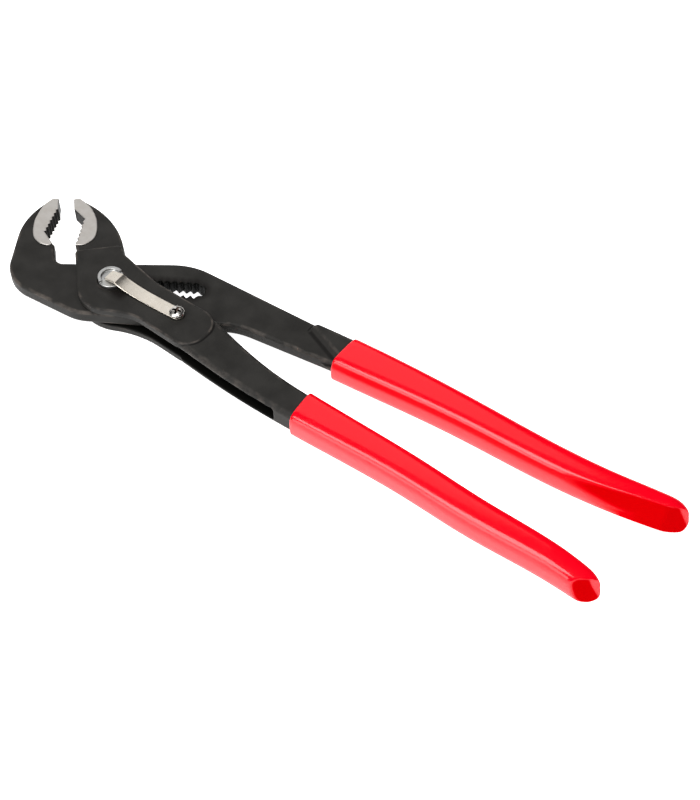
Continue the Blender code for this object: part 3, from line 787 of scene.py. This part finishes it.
# Painted shade in the cross recess.
painted_recess_shade = (0.03, 0.02, 0.016)
grid = axes(screw_middle - screw_room, screw_middle + screw_room, screw_step)
gx, gy, gz = grid
sx, sy = gx - screw_spot[0], gy - screw_spot[1]
radius = np.hypot(sx, sy)
dome = np.sqrt(radius**2 + (gz - head_high + dome_radius) ** 2) - dome_radius
head = carved(prism(radius - head_radius, gz, head_low, head_high + 1, head_edge), -dome, dome_soft)
shank = prism(radius - shank_radius, gz, shank_low, head_low + shank_lap, shank_edge)
screw = joined(head, shank, shank_soft)
along = np.abs(sx * math.cos(recess_turn) + sy * math.sin(recess_turn))
aside = np.abs(sy * math.cos(recess_turn) - sx * math.sin(recess_turn))
wings = [np.maximum(a - recess_reach, b - recess_half) for a, b in ((along, aside), (aside, along))]
star = joined(np.minimum(*wings), radius - recess_hub, recess_soft)
recess = np.maximum(star, head_high - recess_deep + recess_rise * radius - gz)
cross_screw = skin("cross_screw", carved(screw, recess, recess_edge), grid, hollow=recess)
# The cross recess is painted dark as painted shade.
screw_plate = plated("screw_bright_plate", screw_pale, screw_dark, 0.26, 3200, painted_recess_shade)
cross_screw.data.materials.append(screw_plate)
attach(cross_screw, "outer_arm")
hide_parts("spring_screw")


# Outer grip: the handle is dipped in liquid plastic, which sets as a glossy coat of even thickness that
# follows the tang. It stops at a square, slightly rounded lip and closes over the tang's end in a domed nose,
# off which one dull face is pared, painted a deeper red as painted shade.
coat = 1.45
lip = 0.7
outer_grip_start = 105.1
outer_skew = -0.07
skew_length = 25
nose_length = 8.0
nose_falls = ((nose_length, 2.5), (8.5, 2.2), (2.5, 2.2))
least_fall = 1e-6
blunt = (4.2, 3.5)
droop_length = 22.0
toe = 0.2
facet_soft = 0.45
facet_edge = (1.1, 4.2, 0.44)
facet_fade = 1.6
edge_fade = 1.2
flat_soft = 0.5
flat_fade = 1.2
shade_deep = 1.5
shade_run = 24
shade_late = 0.3
red_deep = (0.80, 0.0003, 0.009)
red_pale = (0.85, 0.0006, 0.011)
red_speck = (0.40, 0.004, 0.008)
# Deeper red painted on the pared faces and the underside beside the flat, a painted shade.
pared_shade_red = (0.52, 0.0001, 0.0012)
outer_droop = 2.4
outer_facet = (-42, 15, (240.0, 2.3, -1.7))


def superellipse(a, b, n, count):
    """Sections whose side is a cos t and height b sin t, each part raised to 2 / n and keeping its sign."""
    t = np.linspace(0, 2 * math.pi, count, endpoint=False) + math.pi / count
    c, s = np.cos(t), np.sin(t)
    power = (2 / n)[:, None]
    return a[:, None] * np.sign(c) * np.abs(c) ** power, b[:, None] * np.sign(s) * np.abs(s) ** power


def pared(points, normal, reach, soft):
    """Points set back along a normal by (p + sqrt(p^2 + soft^2)) / 2, p being how far they lie past the
    reach."""
    past = points @ normal - reach
    return points - ((past + np.hypot(past, soft)) / 2)[..., None] * normal


def dipped(name, spine, width, start, end, skew, droop, facet, flat=None):
    """Sleeve swept from the outside of its nose back to the lip, over it, and down the bore to its blind end.
    Over a nose the width, the upper and the lower height each fall as a quarter superellipse with its own
    length and power in nose_falls, (1 - p ^ n) ^ (1 / n), and the top droops as a square; the lower half of a
    nose is drawn out by toe times its depth. A flat (tilt, where it starts and ends, its depth at both) is
    pared off the near side and a facet (heading, tilt, a point on it) off the end. An attribute marks both,
    the facet as far across as its far edge (place, height and lean), and the underside beside the flat; the
    material makes what it marks dull and paints it a deeper red, a painted shade."""
    far = end - nose_length
    q = np.linspace(0, math.pi / 2, 40)
    turn = np.linspace(0, math.pi / 2, 8)[1:]
    nose = far + nose_length * np.sin(q)
    body = np.linspace(start + lip, far, 130)[:-1]
    mouth = start + lip * (1 - np.sin(turn))
    bore = np.linspace(start, far, 60)[:-1]
    x = np.concatenate((nose[::-1], body[::-1], mouth, bore, nose))
    outside = np.full(len(nose) + len(body), coat)
    inside = np.zeros(len(bore) + len(nose))
    grow = np.concatenate((outside, coat - lip * (1 - np.cos(turn)), inside))
    upper, lower = bar_edges(spine, width, x)
    middle = (upper + lower) / 2
    across = (upper - lower) / np.linalg.norm(upper - lower, axis=1)[:, None]
    along = np.stack((across[:, 1], -across[:, 0]), 1)
    fall = [np.maximum(1 - np.clip((x - end) / length + 1, 0, 1) ** power, least_fall) ** (1 / power)
            for length, power in nose_falls]
    half = (np.linalg.norm(upper - lower, axis=1) / 2 + grow) * fall[0]
    past = np.clip((x - far) / nose_length, 0, 1)
    middle = middle + along * (grow * past)[:, None]
    lean = np.clip(1 - (x - start) / skew_length, 0, 1) ** 2 * skew
    across = across + along * lean[:, None]
    square = blunt[0] + (blunt[1] - blunt[0]) * np.clip((x - start) / (end - start), 0, 1)
    side, rise = superellipse(half, tang_half + grow, square, 120)
    drop = droop * np.clip((x - end) / droop_length + 1, 0, 1) ** 2
    top = (fall[1] * (1 - drop / (tang_half + coat)))[:, None]
    pair = np.stack((side, rise * np.where(rise > 0, top, fall[2][:, None])), -1)
    # Marks the pared faces and the underside beside the flat, which the material dulls and paints a deeper
    # red as painted shade.
    dull = np.zeros(side.shape)
    if flat:
        tilt, first, last, *depths = flat
        normal = np.array((-math.cos(math.radians(tilt)), math.sin(math.radians(tilt))))
        depth = np.interp(x, (first, last), depths) * fall[0]
        reach = ((pair @ normal).max(1) - depth)[:, None]
        late = np.clip((x - first) / shade_run - shade_late, 0, 1)[:, None]
        under = np.clip(-pair - (shade_deep, 0), 0, shade_deep).prod(2) / shade_deep**2 * late
        dull = np.maximum(np.clip((pair @ normal - reach) / flat_fade, 0, 1), under)
        pair = pared(pair, normal, reach, flat_soft)
    level = np.zeros(len(x))
    path, aside = (np.column_stack((way, level)) for way in (middle, across))
    points = carried(path, aside, pair[..., 0], pair[..., 1])
    points[..., :2] += along[:, None] * (np.maximum(-pair[..., 1], 0) * toe * past[:, None])[..., None]
    heading, tilt, spot = math.radians(facet[0]), math.radians(facet[1]), np.array(facet[2])
    ahead = np.array((math.cos(heading), math.sin(heading), 0))
    normal = ahead * math.cos(tilt) + (0, 0, math.sin(tilt))
    reach = normal @ spot - coat + grow[:, None]
    off = points - spot
    far_side = off[..., 1] * ahead[0] - off[..., 0] * ahead[1]
    left = facet_edge[0] + (facet_edge[1] - points[..., 2]) * facet_edge[2] - far_side
    dull = np.maximum(dull, np.clip((points @ normal - reach) / facet_fade, 0, 1))
    dull = dull * np.clip(left / edge_fade, 0, 1)
    return lofted(name, pared(points, normal, reach, facet_soft), dull=dull)


def blended(tree, share, a, b):
    """Value a turning to the number b with the share."""
    node = tree.nodes.new("ShaderNodeMix")
    node.data_type = "FLOAT"
    tree.links.new(share, node.inputs["Factor"])
    tree.links.new(a, node.inputs[2])
    node.inputs[3].default_value = b
    return node.outputs[0]


def dipped_red(name):
    """Glossy dipped plastic: even red with faint clouds, a barely rippled surface and a few pin specks; its
    pared faces are dull and painted a deeper red, a painted shade."""
    material, tree, shader, place = finish_of(name)
    cloud = noise(tree, place, 60, 3)
    speck = ranged(tree, noise(tree, place, 900, 2), 0.74, 0.78)
    colour = tinted(tree, ranged(tree, cloud, 0.3, 0.7), red_deep, red_pale)
    colour = tinted(tree, speck, colour, red_speck)
    dull = attribute(tree, "dull")
    # Pared faces and the underside beside the flat painted a deeper red: painted shade.
    tree.links.new(tinted(tree, dull, colour, pared_shade_red), shader.inputs["Base Color"])
    tree.links.new(ranged(tree, dull, 0.1, 0.7, 0.5, 0.0), shader.inputs["Specular IOR Level"])
    ripple = ranged(tree, noise(tree, place, 500, 3), 0.3, 0.7, 0.10, 0.16)
    tree.links.new(blended(tree, dull, ripple, 0.5), shader.inputs["Roughness"])
    shader.inputs["IOR"].default_value = 1.45
    bumped(tree, shader, noise(tree, place, 220, 2), 0.05, 0.0002)
    return material


outer_grip_coat = dipped("outer_grip_coat", outer_spine, outer_width, outer_grip_start, outer_end, outer_skew,
                         outer_droop, outer_facet)
outer_grip_coat.data.materials.append(dipped_red("outer_dipped_red"))
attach(outer_grip_coat, "outer_arm")
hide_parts("outer_grip")


# Inner grip: the same dipped plastic on the inner arm's tang, which bends away from the other handle at its
# end. Besides the face pared off its nose it has a long dull flat on the near side of the bend; both, and the
# underside beside the flat, are painted a deeper red as painted shade.
inner_grip_start = 100.8
inner_skew = 0.12
inner_droop = 1.8
inner_facet = (-44, 19, (249.7, 49.9, -1.3))
inner_flat = (22, 205, 246, 0.4, 3.6)
inner_grip_coat = dipped("inner_grip_coat", inner_spine, inner_width, inner_grip_start, inner_end, inner_skew,
                         inner_droop, inner_facet, inner_flat)
inner_grip_coat.data.materials.append(dipped_red("inner_dipped_red"))
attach(inner_grip_coat, "inner_arm")
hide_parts("inner_grip")


# Studio: the pliers lie on a plain white table under soft boxes, seen from above the handles' side. The table
# glows, so that it comes out as an even white ground, and the fill light leaves no reflection. Lengths here
# are metres.
eye = Vector(pivot) + Vector((0.35463, -0.28090, 0.48784))
sight = Vector((-0.38485, 0.48052, -0.78801))
camera = bpy.data.objects.new("camera", bpy.data.cameras.new("camera"))
camera.data.lens = 69.12
camera.data.sensor_width = 36
camera.location = eye
camera.rotation_euler = sight.to_track_quat("-Z", "Y").to_euler()
bpy.context.scene.collection.objects.link(camera)
bpy.context.scene.camera = camera

table_drop = 0.0002
table_half = 40.0
table_dark = (0.9, 0.9, 0.9)
table_pale = (0.92, 0.92, 0.92)
i, j = np.meshgrid((-table_half, table_half), (-table_half, table_half), indexing="ij")
table_points = np.stack((i, j, np.full(i.shape, -table_drop)), -1).reshape(-1, 3)
table = mesh_piece("table", table_points, np.array(((0, 2, 3, 1),)))
white, tree, shader, place = finish_of("table_white")
tree.links.new(tinted(tree, noise(tree, place, 2, 2), table_dark, table_pale), shader.inputs["Base Color"])
shader.inputs["Roughness"].default_value = 0.9
shader.inputs["Emission Color"].default_value = (1, 1, 1, 1)
shader.inputs["Emission Strength"].default_value = 1.0
table.data.materials.append(white)


def soft_box(name, spot, size, power):
    """Square or oblong area light aimed at the middle of the pliers."""
    light = bpy.data.lights.new(name, "AREA")
    light.shape = "RECTANGLE"
    light.size, light.size_y = size
    light.energy = power
    lamp = bpy.data.objects.new(name, light)
    lamp.location = spot
    lamp.rotation_euler = (Vector((0, 0, 0)) - Vector(spot)).to_track_quat("-Z", "Y").to_euler()
    bpy.context.scene.collection.objects.link(lamp)
    return lamp


soft_box("key_box", (-0.16, -0.40, 1.2), (0.55, 1.0), 12)
soft_box("far_box", (-0.758, 0.664, 0.99), (0.98, 0.8), 2.24)
soft_box("left_box", (-1.2, 0.6, 0.42), (0.8, 0.5), 1.1)
soft_box("right_box", (1.0, -0.5, 0.6), (0.5, 0.5), 1.0)
soft_box("near_box", (-0.16, -1.2, 0.5), (0.55, 0.95), 7.4)
soft_box("fill_box", (0.1, 0.0, 1.5), (1.4, 1.4), 13.5).visible_glossy = False
world = bpy.data.worlds.new("studio")
world.use_nodes = True
world.node_tree.nodes["Background"].inputs["Color"].default_value = (0.015, 0.015, 0.015, 1)
bpy.context.scene.world = world
bpy.context.scene.view_settings.view_transform = "Standard"
